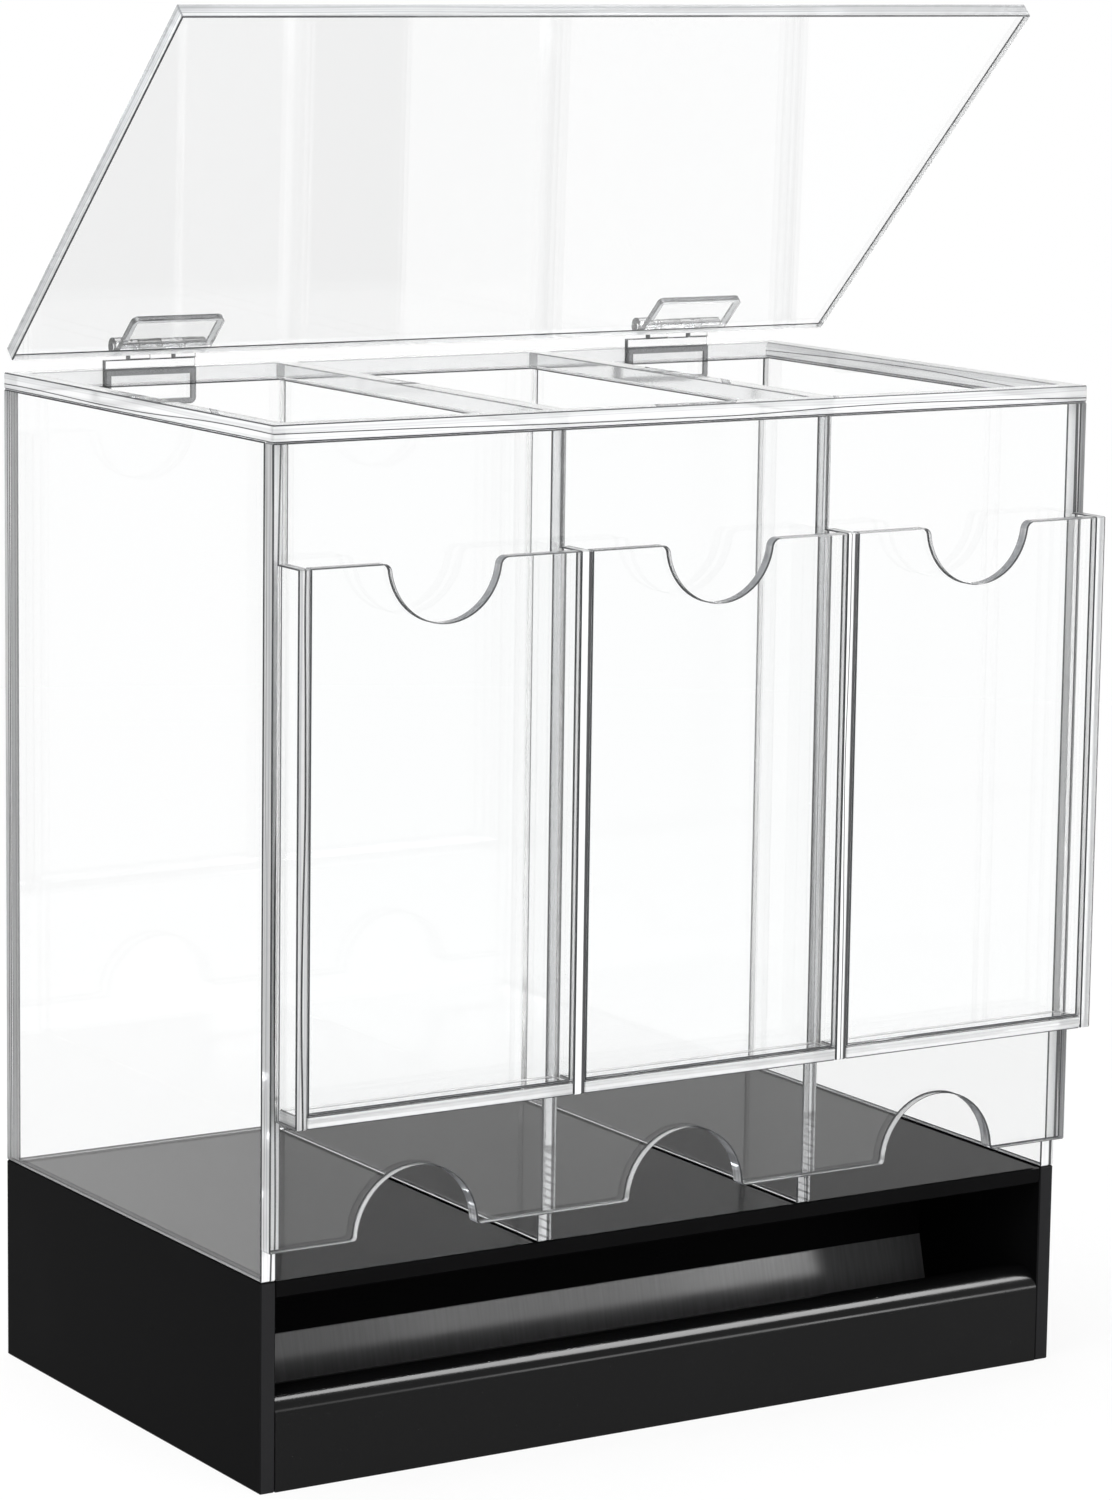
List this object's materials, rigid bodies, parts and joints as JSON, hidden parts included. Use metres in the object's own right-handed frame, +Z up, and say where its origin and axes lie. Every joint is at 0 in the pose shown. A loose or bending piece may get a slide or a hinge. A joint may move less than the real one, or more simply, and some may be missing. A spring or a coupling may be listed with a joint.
{
  "type": "card dispenser box",
  "caption": "Clear upright dispenser case with side-by-side bays under a hinged lid, display pockets on the front, pack slots with finger arches and a black base with an open drop tray.",
  "frame": {"origin": "middle of the base underside, on the surface that the case stands on", "axes": "+X to the right across the bays as seen from the front, +Y to the back, +Z up"},
  "size_m": [0.236, 0.1452, 0.3369],
  "materials": {
    "clear_acrylic": "clear cast sheet with polished edges",
    "black_acrylic": "black gloss sheet",
    "hinge_clear": "clear moulded hinge"
  },
  "bodies": {
    "case": {"base_floor": "black_acrylic", "base_left_side": "black_acrylic", "base_right_side": "black_acrylic", "base_back": "black_acrylic", "drop_tray": "black_acrylic", "pack_platform": "black_acrylic", "left_side_panel": "clear_acrylic", "right_side_panel": "clear_acrylic", "back_panel": "clear_acrylic", "left_divider": "clear_acrylic", "right_divider": "clear_acrylic", "front_panel": "clear_acrylic", "top_frame": "clear_acrylic", "pocket_wall_1": "clear_acrylic", "pocket_wall_2": "clear_acrylic", "pocket_wall_3": "clear_acrylic", "pocket_wall_4": "clear_acrylic", "left_pocket_shelf": "clear_acrylic", "left_pocket_front": "clear_acrylic", "middle_pocket_shelf": "clear_acrylic", "middle_pocket_front": "clear_acrylic", "right_pocket_shelf": "clear_acrylic", "right_pocket_front": "clear_acrylic", "left_hinge_case_leaf": "hinge_clear", "left_hinge_pin": "hinge_clear", "right_hinge_case_leaf": "hinge_clear", "right_hinge_pin": "hinge_clear"},
    "lid": {"lid_panel": "clear_acrylic", "left_hinge_lid_leaf": "hinge_clear", "right_hinge_lid_leaf": "hinge_clear"}
  },
  "joints": [
    {"name": "lid_hinge", "type": "hinge", "parent": "case", "child": "lid", "pos_m": [0, 0.058, 0.2538], "axis": [-1, 0, 0], "range_deg": [-44, 136]}
  ]
}
